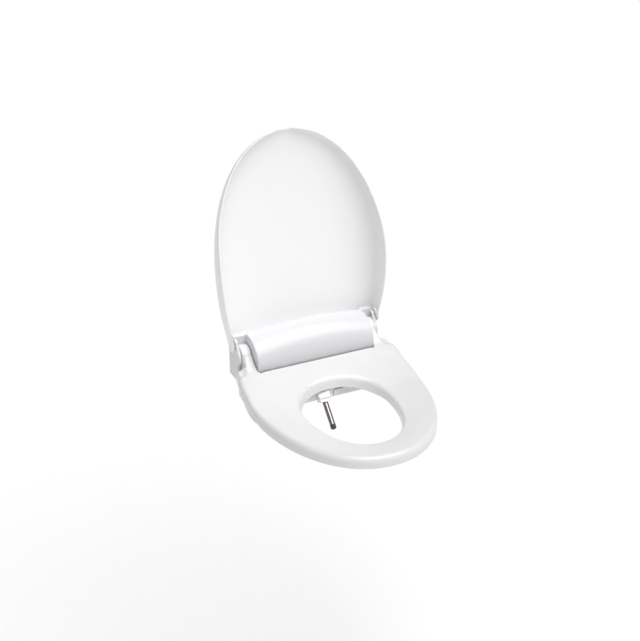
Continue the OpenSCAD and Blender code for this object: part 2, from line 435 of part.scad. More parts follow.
// ---- wash wand ----
module wand_rail() color([0.82, 0.82, 0.84]) on_wand() {
  difference() { translate([-9, -8.9, -166]) cube([18, 12, 140]); translate([-7.2, -7, -170]) cube([14.4, 40, 150]);
    translate([6, -3.2, -170]) cube([20, 20, 160]); }
}
module wand_hood() color([0.93, 0.93, 0.94]) difference() {
  on_wand() difference() {
    union() { translate([-13, -11, -22]) cube([26, 22, 20]); translate([-13, -8, -24]) cube([26, 19, 22]); 
      translate([-13, 0, -2]) linear_extrude(2.4) polygon([[1, -8], [25, -8], [26, -6], [26, 9], [24, 11], [2, 11], [0, 9], [0, -6]]); }
    translate([0, 0, -30]) cylinder(r = wand_r + 0.5, h = 40);
    translate([0, -3.2, -30]) cube([11.8, 6.4, 16.5]);
  }
  translate([-60, -112.1, -40]) cube([120, 30, 90]);
}
module wand_tube() color([0.78, 0.78, 0.8]) on_wand() difference() {
  translate([0, 0, -74]) cylinder(r = wand_r, h = 74 + wand_out - 8.5);
  translate([0, 0, -75]) cylinder(r = wand_r - 1, h = 74 + wand_out + 10);
}
module wand_tip() color([0.16, 0.16, 0.17]) on_wand() difference() {
  union() { translate([0, 0, wand_out - 8.4]) cylinder(r = wand_r, h = 6.4);
    translate([0, 0, wand_out - 2]) cylinder(r1 = wand_r, r2 = wand_r - 1.8, h = 2);
    translate([0, 0, wand_out - 30]) cylinder(r = wand_r - 1.05, h = 22); }
  for (z = [-5.4, -3.2]) translate([0, 8, wand_out + z]) rotate([90, 0, 0]) cylinder(r = 0.6, h = 5);
}
rack_m = 1.5;
pin_s = -88;
rack_x = 10.2;
module wand_carriage() color([0.3, 0.31, 0.33]) on_wand() {
  translate([0, 0, -92]) cylinder(r = wand_r, h = 18);
  translate([0, 0, -74]) cylinder(r = wand_r - 1.05, h = 12);
  translate([0, -2.5, -92]) cube([8.4, 5, 6]);
  translate([7.3 - 0.8, -2.5, -92]) cube([1.9, 5, 77]);
  for (k = [0:15]) translate([8.4, -2.5, -92 + 2 + k * PI * rack_m]) rotate([-90, 0, 0]) linear_extrude(5)
    polygon([[-0.2, 1.5], [0, 1.5], [2.6, 0.55], [2.6, -0.55], [0, -1.5], [-0.2, -1.5]]);
}
pin_rp = 9;
pin_x = 8.4 + 1.3 + pin_rp;
module wand_pinion() color([0.85, 0.85, 0.8]) on_wand() translate([pin_x, 0, pin_s]) rotate([-90, 0, 0]) {
  translate([0, 0, -2.4]) linear_extrude(4.8) union() { circle(7.6);
    for (k = [0:11]) rotate(180 + 30 * (k + pin_phase)) polygon([[6.5, 1.42], [7.6, 1.37], [9, 0.86], [10.2, 0.3],
      [10.2, -0.3], [9, -0.86], [7.6, -1.37], [6.5, -1.42]]); }
  translate([0, 0, -7.9]) cylinder(r = 2.5, h = 5.6);
}
// the rack's nearest gap decides how the pinion is turned at rest
pin_phase = let (p = PI * rack_m, f = (pin_s + 90) / p + 0.5) -(f - floor(f));
module wand_motor() color([0.6, 0.61, 0.63]) on_wand() translate([pin_x, 0, pin_s]) rotate([-90, 0, 0]) difference() {
  union() { translate([0, 0, -24.2]) cylinder(r = 9, h = 16); translate([0, 0, -8.3]) cylinder(r = 5, h = 3); }
  translate([0, 0, -8.1]) cylinder(r = 2.55, h = 6.4);
}
module wand_gate() color([0.93, 0.93, 0.94]) on_wand() { translate([-11.5, wand_r + 1.2, 0.8]) cube([23, 1.6, 8]);
  translate([-11.5, wand_r + 2, 1.6]) rotate([0, 90, 0]) cylinder(r = 1, h = 23); }

// ---- buttons ----
module release_button() color([0.8, 0.8, 0.82]) translate([150, -43.8, 8.3]) cube([20.6, 16.2, 9.4]);
module release_spring_seat() color([0.5, 0.5, 0.52]) translate([139, -43, 2.8]) difference() { cube([4, 14.6, 14]); translate([-1, 7.3, 10]) rotate([0, 90, 0]) cylinder(r = 2, h = 8); }
module side_button(y) { bar_x(149, 163.8 - 0.2 * y, y, 14, 6); }
module power_button() color([0.82, 0.82, 0.83]) side_button(-8);
module wash_button() color([0.82, 0.82, 0.83]) side_button(14);

mounting_plate();
bolt_adjusters();
base_tray();
base_feet();
drain_plug();
cable_gland();
water_inlet();
inlet_strainer();
case_screws();
top_cover();
cover_end_caps();
cover_end_walls();
cover_shoulders();
seat_hinge_pins();
lid_hinge_pins();
damper_bodies();
water_tank();
tank_heater();
solenoid_valve();
mixing_valve();
air_pump();
inner_hoses();
control_board();
board_posts();
board_parts();
power_module();
blower_housing();
blower_motor();
dryer_heater();
dryer_duct();
deodoriser_filter();
wand_rail();
wand_hood();
wand_motor();
seat_top_shell();
seat_ears();
seat_bottom_shell();
seat_heater();
seat_sensor();
seat_bumpers();
seat_hinge_bushes();
lid_shell();
lid_hinge_bushes();
wand_tube();
wand_tip();
wand_carriage();
wand_pinion();
wand_gate();
dryer_flap();
dryer_fan();
release_button();
power_button();
wash_button();
release_spring_seat();
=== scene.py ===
import json
import math

import bpy
import numpy as np
from mathutils import Matrix, Vector


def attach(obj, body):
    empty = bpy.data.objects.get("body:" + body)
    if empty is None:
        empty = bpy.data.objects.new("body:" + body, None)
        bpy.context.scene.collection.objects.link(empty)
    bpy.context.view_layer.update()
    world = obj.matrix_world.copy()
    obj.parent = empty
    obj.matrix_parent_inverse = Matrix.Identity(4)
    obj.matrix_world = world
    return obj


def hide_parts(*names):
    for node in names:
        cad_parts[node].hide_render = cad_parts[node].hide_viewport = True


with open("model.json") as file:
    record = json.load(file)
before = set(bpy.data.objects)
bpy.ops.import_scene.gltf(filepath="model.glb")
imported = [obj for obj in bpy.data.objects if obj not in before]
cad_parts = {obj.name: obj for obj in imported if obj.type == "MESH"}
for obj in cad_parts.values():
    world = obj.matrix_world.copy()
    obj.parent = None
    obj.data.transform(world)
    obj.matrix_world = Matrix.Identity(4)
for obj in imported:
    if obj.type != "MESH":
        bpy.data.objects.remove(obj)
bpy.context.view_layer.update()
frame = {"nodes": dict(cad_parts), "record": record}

# ---- sizes of the seat, in millimetres ----
SEAT_HALF_W = 191.5
SEAT_TIP = 425.0
SEAT_WIDEST = 139.0
SEAT_POWER = 2.1
SEAT_REAR_W = 179.0
SEAT_TOP_Z = 40.5
SEAT_LOW_Z = 16.0
SEAT_REAR_Y = -58.2
SEAT_SKIN = 3.3
RING_H = 24.5
EDGE_ROUND = 10.5
HOLE_ROUND = 9.5
HOLE_HALF_W = 99.0
HOLE_MID_Y = -207.5
HOLE_FRONT = 155.5
HOLE_REAR = 89.0
EAR_X = 138.0
EAR_R = 26.0
EAR_START_Y = -96.0
KNUCKLE_END_X = 159.5
EAR_BORE_R = 8.0
AXIS_Z = 82.3
# lid
LID_TILT = 112.0
LID_AXIS = (7.0, 112.0)
LID_SKIN = 3.4
LID_TIP = SEAT_TIP + 2.0
LID_FRONT_Z = 70.0
LID_REAR_Z = 149.0
LID_BOSS_R = 11.0
LID_BOSS_X = 171.7
# cover and base
COVER_TOP = 141.0
COVER_R = 58.2
COVER_SKIN = 3.6
COVER_LOW_Z = 24.0
END_WALL_X = 134.4
EAR_GAP_X = 137.2
CHEEK_X = 163.05
CHEEK_HALF_T = 2.95
BOLT_X = 70.0
# wash wand
WAND_ROOT = (-14.3, -125.0, 5.6)
WAND_TURN = 5.4
WAND_TILT = 31.3
WAND_WAY_R = 6.5


# ---- fields: negative inside the material ----
def meet(a, b, r):
    """What both fields share, with the edge between them rounded to radius r."""
    u, v = np.maximum(a + r, 0.0), np.maximum(b + r, 0.0)
    return np.minimum(np.maximum(a, b), -r) + np.hypot(u, v)


def join(a, b, r):
    """Both fields together, with the corner between them filled to radius r."""
    return -meet(-a, -b, r)


def smooth(t):
    t = np.clip(t, 0.0, 1.0)
    return t * t * (3.0 - 2.0 * t)


def block(p, lo, hi, r):
    """A box with its edges rounded to r."""
    q = [np.abs(c - (a + b) / 2) - (b - a) / 2 + r for c, a, b in zip(p, lo, hi)]
    out = np.sqrt(sum(np.maximum(c, 0.0) ** 2 for c in q))
    return out + np.minimum(np.maximum(np.maximum(q[0], q[1]), q[2]), 0.0) - r


def plan(points, cell=1.0, margin=40.0):
    """Signed distance from a closed outline in a plane, as a function of two coordinates."""
    p = np.array(points, float)
    low = p.min(0) - margin
    count = ((p.max(0) + margin - low) / cell).astype(int) + 2
    rows, cols = (low[k] + cell * np.arange(count[k]) for k in (0, 1))
    u, v = np.meshgrid(rows, cols, indexing="ij")
    best = np.full(u.shape, 1e12)
    odd = np.zeros(u.shape, bool)
    for (ax, ay), (bx, by) in zip(p, np.roll(p, -1, axis=0)):
        ex, ey = bx - ax, by - ay
        span = ex * ex + ey * ey
        if span < 1e-12:
            continue
        t = np.clip(((u - ax) * ex + (v - ay) * ey) / span, 0.0, 1.0)
        best = np.minimum(best, (u - ax - t * ex) ** 2 + (v - ay - t * ey) ** 2)
        if ay != by:
            odd ^= ((ay > v) != (by > v)) & (u < ax + (v - ay) * ex / ey)
    field = np.where(odd, -1.0, 1.0) * np.sqrt(best)

    def at(x, y):
        i = np.clip((x - low[0]) / cell, 0.0, count[0] - 1.001)
        j = np.clip((y - low[1]) / cell, 0.0, count[1] - 1.001)
        a, b = i.astype(int), j.astype(int)
        s, t = i - a, j - b
        near = field[a, b] * (1 - s) + field[a + 1, b] * s
        far = field[a, b + 1] * (1 - s) + field[a + 1, b + 1] * s
        return near * (1 - t) + far * t

    return at


def arc(middle, radius, degrees):
    """Points round part of a circle."""
    turns = [math.radians(a) for a in degrees]
    return [(middle[0] + radius * math.cos(a), middle[1] + radius * math.sin(a)) for a in turns]


def rounded(points, times=2):
    """A closed outline with its corners cut softly."""
    p = np.array(points, float)
    for _ in range(times):
        q = np.roll(p, -1, axis=0)
        p = np.stack([0.75 * p + 0.25 * q, 0.25 * p + 0.75 * q], axis=1).reshape(-1, 2)
    return p


def skin_of(field, lo, hi, step):
    """Points and faces of the surface where a field changes sign inside a box."""
    axes = [np.arange(a, b + step, step) for a, b in zip(lo, hi)]
    value = field(*np.meshgrid(*axes, indexing="ij"))
    inside = value < 0
    n = value.shape

    def corner(a, di, dj, dk):
        return a[di:n[0] - 1 + di, dj:n[1] - 1 + dj, dk:n[2] - 1 + dk]

    count = sum(corner(inside, i, j, k).astype(np.int8) for i in (0, 1) for j in (0, 1) for k in (0, 1))
    mixed = (count > 0) & (count < 8)
    index = np.full(mixed.shape, -1)
    index[mixed] = np.arange(mixed.sum())
    cell = np.argwhere(mixed).astype(float)
    total, hits = np.zeros_like(cell), np.zeros(len(cell))
    for axis in range(3):
        for s in (0, 1):
            for t in (0, 1):
                off = [s, t]
                off.insert(axis, 0)
                a = corner(value, *off)[mixed]
                off[axis] = 1
                b = corner(value, *off)[mixed]
                cross = (a < 0) != (b < 0)
                share = np.where(cross, a / np.where(cross, a - b, 1.0), 0.0)
                spot = np.array(off, float)
                spot[axis] = 0.0
                point = np.tile(spot, (len(cell), 1))
                point[:, axis] = share
                total += point * cross[:, None]
                hits += cross
    pts = np.array(lo) + step * (cell + total / hits[:, None])
    for _ in range(3):
        here = field(*pts.T)
        slope = np.stack([(field(*(pts + e).T) - field(*(pts - e).T)) / 0.4 for e in 0.2 * np.eye(3)], axis=1)
        move = slope * (here / np.maximum((slope ** 2).sum(1), 0.05))[:, None]
        length = np.linalg.norm(move, axis=1, keepdims=True)
        pts -= move * np.minimum(1.0, 0.5 * step / np.maximum(length, 1e-9))
    faces = []
    for axis in range(3):
        b, c = (axis + 1) % 3, (axis + 2) % 3
        first = np.moveaxis(inside, (axis, b, c), (0, 1, 2))
        cells = np.moveaxis(index, (axis, b, c), (0, 1, 2))
        before, after = first[:-1, 1:-1, 1:-1], first[1:, 1:-1, 1:-1]
        quad = np.stack([cells[:, :-1, :-1], cells[:, 1:, :-1], cells[:, 1:, 1:], cells[:, :-1, 1:]], axis=-1)
        leaving, entering = before & ~after, ~before & after
        faces.append(quad[leaving])
        faces.append(quad[entering][:, ::-1])
    return pts, np.concatenate(faces)


def piece(name, pts, faces, body, paint, stands_for=(), colour=None):
    """A mesh piece that rides on one body and stands for some of its nodes."""
    mesh = bpy.data.meshes.new(name)
    mesh.from_pydata((np.asarray(pts) * 0.001).tolist(), [], np.asarray(faces).tolist())
    mesh.validate()
    mesh.shade_smooth()
    mesh.set_sharp_from_angle(angle=math.radians(38))
    obj = bpy.data.objects.new(name, mesh)
    bpy.context.scene.collection.objects.link(obj)
    mesh.materials.append(PAINTS[colour or paint])
    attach(obj, body)
    if stands_for:
        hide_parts(*stands_for)
    return obj


# ---- curves shared by the seat, the lid and the base ----
def rise(y):
    """How far the seat's top has climbed towards the hinge."""
    return np.clip((y + 196.0) / 134.0, 0.0, 1.6) ** 1.8


def edge_z(y):
    """Height of the ring's edge."""
    return SEAT_TOP_Z + 28.0 * rise(y)


def under_z(x, y):
    """Height of the ring's lower edge, which arches over the wand."""
    mid = SEAT_LOW_Z + 43.0 * np.clip((y + 172.0) / 115.0, 0.0, 1.3) ** 1.7
    side = SEAT_LOW_Z + 13.0 * np.clip((y + 192.0) / 50.0, 0.0, 1.0) ** 1.3
    b = smooth((np.abs(x) - 126.0) / 18.0)
    return mid * (1 - b) + side * b


def half_w(y, grow=0.0, tip=SEAT_TIP):
    """Half the width of the seat's outline, or of one a little larger."""
    out = np.maximum(-y - SEAT_WIDEST, 0.0) / (tip - SEAT_WIDEST)
    front = (SEAT_HALF_W + grow) * np.maximum(1 - out ** SEAT_POWER, 0.0) ** (1 / SEAT_POWER)
    rear = SEAT_HALF_W + grow - (SEAT_HALF_W - SEAT_REAR_W) * ((y + SEAT_WIDEST) / 119.0) ** 2
    return np.where(y < -SEAT_WIDEST, front, rear)


def mirrored(points):
    """An outline's right half followed by its left half."""
    return list(points) + [(-x, y) for x, y in reversed(list(points))]


def seat_outline(corner=12.0):
    wide = float(half_w(SEAT_REAR_Y - corner))
    bend = arc((wide - corner, SEAT_REAR_Y - corner), corner, [90 - 11.25 * k for k in range(9)])
    pts = [(0.0, SEAT_REAR_Y)] + bend
    for y in np.linspace(SEAT_REAR_Y - corner - 4, -SEAT_WIDEST, 16):
        pts.append((float(half_w(y)), float(y)))
    for k in range(1, 90):
        t = math.pi / 2 * (k / 90) ** 0.94
        pts.append((SEAT_HALF_W * math.cos(t) ** (2 / SEAT_POWER),
                    -SEAT_WIDEST - (SEAT_TIP - SEAT_WIDEST) * math.sin(t) ** (2 / SEAT_POWER)))
    return mirrored(pts + [(0.0, -SEAT_TIP)])


def hole_outline():
    pts = []
    for k in range(180):
        d = math.radians(2 * k)
        c, s = math.cos(d), math.sin(d)
        q = (abs(c) ** 2.15 + abs(s) ** 2.15) ** (-1 / 2.15)
        pts.append((HOLE_HALF_W * c * q, HOLE_MID_Y + (HOLE_REAR if s > 0 else HOLE_FRONT) * s * q))
    return pts


def ear_top(y):
    """Height of an ear's crest, from the ring up to the round knuckle."""
    t = np.clip((y - EAR_START_Y) / 76.0, 0.0, 1.0)
    bend = ((2 * t ** 3 - 3 * t ** 2 + 1) * edge_z(EAR_START_Y) + (t ** 3 - 2 * t ** 2 + t) * 76.0 * 0.35
            + (3 * t ** 2 - 2 * t ** 3) * 98.9 + (t ** 3 - t ** 2) * 76.0 * 1.1)
    bend = bend - 4.0 * smooth((-76.0 - y) / 20.0)
    return np.where(y > -20, AXIS_Z + np.sqrt(np.maximum(EAR_R ** 2 - y * y, 0.0)), bend)


def ear_outline():
    """Side view of an ear."""
    top = [(y, float(ear_top(y))) for y in np.arange(EAR_START_Y, -21.0, 3.0)]
    knuckle = arc((0.0, AXIS_Z), EAR_R, range(140, -91, -6))
    low = [(-12.0, 46.0), (-34.0, 33.5), (-57.0, 30.0), (-60.0, 30.0), (-62.5, 58.0), (EAR_START_Y, 43.0)]
    return top + knuckle + low


seat_edge = plan(seat_outline())
seat_hole = plan(hole_outline())
ear_side = plan(ear_outline())


def seat_field(x, y, z):
    """The seat ring, hollow below, with its two ears."""
    out, rim = seat_edge(x, y), seat_hole(x, y)
    low = under_z(x, y)
    room = np.clip((edge_z(y) - low) / RING_H, 0.3, 1.2)
    e, g = np.maximum(-out, 0.0), np.maximum(rim, 0.0)
    t = e / np.maximum(e + g, 1e-6)
    top = edge_z(y) + 1.3 * np.sin(math.pi * np.clip(t, 0, 1)) - 2.0 * smooth(2 * t - 1)
    flare = 3.0 * np.clip((top - z) / RING_H, 0.0, 1.6)
    roll = np.minimum(room, 1.0)
    solid = meet(out, 0.96 * (z - top), EDGE_ROUND * roll)
    solid = meet(solid, -rim - flare, HOLE_ROUND * roll)
    solid = meet(solid, low - z, 1.6)
    # the underside is open, with the same skin all round
    room_in = meet(out + SEAT_SKIN + 0.1, z - top + SEAT_SKIN, np.maximum(EDGE_ROUND * roll - SEAT_SKIN, 1.5))
    room_in = meet(room_in, -rim + SEAT_SKIN - flare, np.maximum(HOLE_ROUND * roll - SEAT_SKIN, 1.5))
    solid = np.maximum(solid, -room_in)
    # ears with round knuckles
    wide, ax = half_w(y) - 3.2, np.abs(x)
    crest, sh = ear_top(np.clip(y, EAR_START_Y, -21.0)) + 0.5, edge_z(y) - 5.0
    flank = sh - 2.0 + (crest - sh + 2.0) * smooth((wide - ax - 7.0) / 20.0)
    ear = meet(ear_side(y, z), (z - flank) * 0.8 - np.where(y > -24.0, (y + 24.0) * 2.0, 0.0), 3.0)
    ear = meet(ear, ax - wide, 7.0)
    # narrow knuckle, and room for the lid's hinge when the seat stands up
    low_cut = 75.5 - 7.0 * smooth((ax - 158.0) / 14.0)
    behind = np.maximum(y + 24.0, (z - low_cut + 0.7 * (y + 36.0)) / 1.22)
    ear = meet(ear, np.minimum(ax - KNUCKLE_END_X, behind), 3.5)
    ear = meet(ear, EAR_X - ax, 2.2)
    whole = join(solid, ear, 9.0)
    slot = np.minimum(EAR_X - ax, y - SEAT_REAR_Y)
    whole = meet(whole, slot, 1.4)
    bore = np.minimum(EAR_BORE_R - np.hypot(y, z - AXIS_Z), ax - 100.0)
    return np.maximum(whole, bore)


def wand_axes():
    """Directions of the wand: sideways, up and outward, as columns."""
    yaw, tip = math.radians(-WAND_TURN), math.radians(90 + WAND_TILT)
    turn = Matrix.Rotation(yaw, 3, "Z") @ Matrix.Rotation(tip, 3, "X")
    return np.array(turn)


WAND = wand_axes()


def in_wand_axes(x, y, z):
    """Sideways, upward and outward distances from the root of the wand."""
    w = np.stack([x - WAND_ROOT[0], y - WAND_ROOT[1], z - WAND_ROOT[2]], axis=-1) @ WAND
    return w[..., 0], w[..., 1], w[..., 2]


# ---- cover ----
def crest_z(x):
    """Height of the cover's crest, rounded off at its ends."""
    c = np.clip((np.abs(x) - 146.0) / 20.0, 0.0, 1.0)
    return COVER_TOP - 0.00064 * x * x - 22.0 * (1 - np.sqrt(1 - c * c))


def oval(y, z, a, b):
    """First-order distance from an ellipse with half axes a and b."""
    s = np.sqrt((y / a) ** 2 + (z / b) ** 2)
    return (s - 1) * s / np.maximum(np.sqrt((y / a ** 2) ** 2 + (z / b ** 2) ** 2), 1e-6)


# side view of the thin end cheek that carries both hinges
cheek_side = plan(
    arc(LID_AXIS, 9.5, range(30, 170, 8)) + arc((0.0, AXIS_Z), 21.0, range(130, 240, 8))
    + [(-6.0, 24.2), (40.0, 24.2), (40.0, 84.0), (37.0, 88.0), (22.0, 88.0), (18.0, 96.0)])


def cover_solid(x, y, z):
    """The cover filled in: drum, rear deck and the apron under the seat."""
    ax = np.abs(x)
    top = crest_z(x)
    back = 33.4 - 7.0 * np.clip((ax - 125.0) / 35.0, 0.0, 1.0)
    deck = 58.0 - 26.0 * np.clip((ax - 124.0) / 42.0, 0.0, 1.0) ** 2.5
    h = 1.0 - 0.65 * smooth((ax - 108.0) / 26.0)
    drum = np.hypot(y, z - AXIS_Z) - COVER_R
    front = np.where(z > AXIS_Z, oval(y, z - AXIS_Z, COVER_R, top - AXIS_Z), drum)
    rear = np.where(z > 96.0, oval(y, z - 96.0, back, top - 96.0), y - back)
    body = np.where(y < 0, front, rear)
    shelf = meet(meet(z - 88.5, y - deck, 3.5), -y - 2.0, 0.5)
    rim = COVER_LOW_Z + 5.0 * h
    slope = 28.6 * h / 53.3
    apron = (z - rim - slope * (y + 109.5)) / np.sqrt(1 + slope * slope)
    apron = meet(meet(apron, -111.0 - y, 2.0), y - 4.0, 0.5)
    return join(join(body, shelf, 3.0), apron, 2.5)


def cover_field(x, y, z):
    """The cover as a shell. Two known faults are marked below."""
    ax = np.abs(x)
    whole = cover_solid(x, y, z)
    whole = meet(whole, ax - 160.6, 1.5)
    skin = COVER_SKIN + 2.0 * smooth((ax - 98.0) / 12.0) * smooth((-y - 44.0) / 10.0)
    hollow = np.maximum(whole + skin, ax - END_WALL_X)
    # space for the seat's ears
    ear = np.minimum(ax - EAR_GAP_X, np.maximum(12.0 - y, 28.2 - np.hypot(y, z - AXIS_Z)))
    ear = np.maximum(ear, np.minimum(np.minimum(ax - EAR_GAP_X, 18.0 - y), 60.6 - z))
    whole = meet(whole, ear, 1.2)
    whole = np.maximum(whole, -hollow)
    # known fault: joined after the ears' space is cut, so it overlaps seat_ring by up to 8.8 mm
    shoulder = block((ax, y, z), (136.0, 12.3, 86.0), (165.6, 24.0, 126.5), 3.0)
    whole = join(whole, shoulder, 2.0)
    cheek = meet(cheek_side(y, z), np.abs(ax - CHEEK_X) - CHEEK_HALF_T, 1.2)
    whole = join(whole, cheek, 0.8)
    pin = np.minimum(5.2 - np.hypot(y, z - AXIS_Z), 162.8 - ax)
    lid_pin = np.minimum(4.05 - np.hypot(y - LID_AXIS[0], z - LID_AXIS[1]), ax - 160.0)
    side, up, along = in_wand_axes(x, y, z)
    # way for the wand; known fault: no rear limit, so it also goes through the back wall
    channel = np.minimum(WAND_WAY_R - np.hypot(side, up), -10.0 - along)
    whole = np.maximum(np.maximum(whole, channel), np.maximum(pin, lid_pin))
    return meet(whole, COVER_LOW_Z + 0.1 - z, 0.5)


# ---- lid, drawn closed and then opened ----
# height and depth of the lid's rear edge
REAR_EDGE = ((80.0, 6.0), (96.0, 6.0), (98.5, 14.0), (102.0, 20.0), (108.0, 23.5), (115.0, 23.5),
             (124.0, 22.0), (134.0, 17.0), (143.0, 12.0), (160.0, 12.0))


def lid_gap(x, y, z):
    """Below zero inside the lid's dome, which is squarer at the rear."""
    w = np.maximum(half_w(np.minimum(y, 4.0), 1.5, LID_TIP), 0.4)
    z0 = edge_z(np.minimum(y, 4.0)) - 3.0
    dome = LID_FRONT_Z + (LID_REAR_Z - LID_FRONT_Z) * np.clip((y + 415.0) / 427.0, 0.0, 1.2) ** 1.12
    u = np.clip((-y - 250.0) / (LID_TIP - 250.0), 0.0, 1.0)
    tall = np.maximum((dome - z0) * np.maximum(1 - u ** 3.2, 0.0) ** (1 / 3.2), 0.3)
    e = 4.2 + 2.6 * np.clip((y + 260.0) / 260.0, 0.0, 1.0)
    a, b = np.minimum(np.abs(x) / w, 40.0), np.minimum(np.maximum(z - z0, 0.0) / tall, 40.0)
    return (a ** e + b ** e) ** (1 / e) - 1.0


def lid_field(x, y, z):
    """The lid as a shell, with its two hinge bosses."""
    here = lid_gap(x, y, z)
    d = 0.3
    slope = np.sqrt(sum(((lid_gap(x + i, y + j, z + k) - lid_gap(x - i, y - j, z - k)) / (2 * d)) ** 2
                        for i, j, k in ((d, 0, 0), (0, d, 0), (0, 0, d))))
    dist = here / np.clip(slope, 0.002, 1.0)
    shell = np.abs(dist + LID_SKIN / 2) - LID_SKIN / 2
    z0 = edge_z(np.minimum(y, 4.0)) - 2.5
    shell = meet(shell, 0.95 * (z0 - z), 1.2)
    heights, depths = zip(*REAR_EDGE)
    shell = meet(shell, 0.9 * (y - np.interp(z, heights, depths)), 1.2)
    turn = np.hypot(y - LID_AXIS[0], z - LID_AXIS[1])
    boss = meet(turn - LID_BOSS_R, np.abs(np.abs(x) - LID_BOSS_X) - 2.5, 0.5)
    shell = join(shell, boss, 1.0)
    return np.maximum(shell, np.minimum(6.5 - turn, 171.9 - np.abs(x)))


# ---- base ----
# right half of the base seen from above
BASE_SIDE = ((134, 58), (143, 55.5), (148.5, 50), (151.5, 42), (156, 22), (160.5, 2), (165, -18), (170, -42),
             (175, -67), (180, -95), (182, -118), (182, -136), (179.5, -147), (173, -154), (164, -156.5),
             (154, -153), (143, -143), (133, -132), (123, -122.5), (111, -115.5), (96, -112.5), (70, -112))
base_plan = plan(rounded(mirrored(BASE_SIDE), 3))


def base_field(x, y, z):
    """The tray under the cover, open on top where the cover stands."""
    edge = base_plan(x, y)
    ax = np.abs(x)
    tray = meet(meet(edge, z - COVER_LOW_Z, 2.0), -z, 1.6)
    inner = edge + COVER_SKIN
    under_cover = np.minimum(131.0 - ax, y + 108.0)
    open_top = np.maximum(under_cover, np.minimum(150.0 - ax, y - 19.0))
    lid_z = np.where(open_top > 0, COVER_LOW_Z + 20.0, COVER_LOW_Z - 2.6)
    room = np.maximum(np.maximum(inner, 2.8 - z), z - lid_z)
    tray = np.maximum(tray, -room)
    # bolt bosses, then posts for the case screws
    for side in (-BOLT_X, BOLT_X):
        tray = np.minimum(tray, np.maximum(np.hypot(x - side, y) - 22.0, np.abs(z - 4.4) - 4.4))
    for px in (-95.0, 95.0):
        for py in (-80.0, 46.0):
            tray = np.minimum(tray, np.maximum(np.hypot(x - px, y - py) - 4.5, np.abs(z - 12.0) - 10.5))
            tray = np.maximum(tray, np.minimum(3.4 - np.hypot(x - px, y - py), 1.5 - z))
    # recess for the mounting plate, warm air outlet and release button
    p = (x, y, z)
    cuts = [block(p, (-104, -24, -1), (104, 24, 4.7), 0.5), block(p, (14, -120, 4.4), (61, -100, 18.6), 1.0),
            block(p, (140, -44, 8), (200, -27.4, 18), 1.0)]
    # slots for the wand and its rack
    wand = in_wand_axes(x, y, z)
    cuts.append(block(wand, (-9.5, -11, -60), (9.5, 19, 20), 1.0))
    cuts.append(block(wand, (0, -3.6, -60), (12, 3.6, 1), 0.3))
    for side in (-BOLT_X, BOLT_X):
        cuts.append(np.hypot(x - side, y) - 13.0)
    # water inlet, cable gland and drain plug at the back
    for px, pz, r in ((-118, 14, 12), (118, 14, 7), (-60, 10, 6)):
        cuts.append(np.maximum(np.hypot(x - px, z - pz) - r, 40.0 - y))
    # two buttons on the side
    for py in (-8.0, 14.0):
        cuts.append(np.maximum(np.hypot(y - py, z - 14.0) - 6.3, 140.0 - x))
    # feet
    for px, py, r in ((170, -128, 6.2), (130, 36, 8.2)):
        cuts.append(np.maximum(np.hypot(ax - px, y - py) - r, z - 1.2))
    for cut in cuts:
        tray = np.maximum(tray, -cut)
    return tray


# ---- materials ----
def finish_of(name, colour, rough, metal=0.0, coat=0.0, grain=900.0, bump=0.004, vary=0.03, clear=0.0):
    mat = bpy.data.materials.new(name)
    mat.use_nodes = True
    nodes, links = mat.node_tree.nodes, mat.node_tree.links
    shader = nodes["Principled BSDF"]
    coords = nodes.new("ShaderNodeTexCoord")
    fine = nodes.new("ShaderNodeTexNoise")
    fine.inputs["Scale"].default_value = grain
    fine.inputs["Detail"].default_value = 3.0
    broad = nodes.new("ShaderNodeTexNoise")
    broad.inputs["Scale"].default_value = 14.0
    links.new(coords.outputs["Object"], fine.inputs["Vector"])
    links.new(coords.outputs["Object"], broad.inputs["Vector"])
    ramp = nodes.new("ShaderNodeMapRange")
    ramp.inputs["To Min"].default_value = max(rough - vary, 0.02)
    ramp.inputs["To Max"].default_value = rough + vary
    links.new(broad.outputs["Fac"], ramp.inputs["Value"])
    links.new(ramp.outputs["Result"], shader.inputs["Roughness"])
    tint = nodes.new("ShaderNodeValToRGB")
    tint.color_ramp.elements[0].color = [c * 0.985 for c in colour] + [1.0]
    tint.color_ramp.elements[1].color = list(colour) + [1.0]
    links.new(broad.outputs["Fac"], tint.inputs["Fac"])
    links.new(tint.outputs["Color"], shader.inputs["Base Color"])
    relief = nodes.new("ShaderNodeBump")
    relief.inputs["Strength"].default_value = bump * 25
    relief.inputs["Distance"].default_value = 0.0001
    links.new(fine.outputs["Fac"], relief.inputs["Height"])
    links.new(relief.outputs["Normal"], shader.inputs["Normal"])
    shader.inputs["Metallic"].default_value = metal
    shader.inputs["Coat Weight"].default_value = coat
    shader.inputs["Coat Roughness"].default_value = 0.08
    shader.inputs["Transmission Weight"].default_value = clear
    return mat


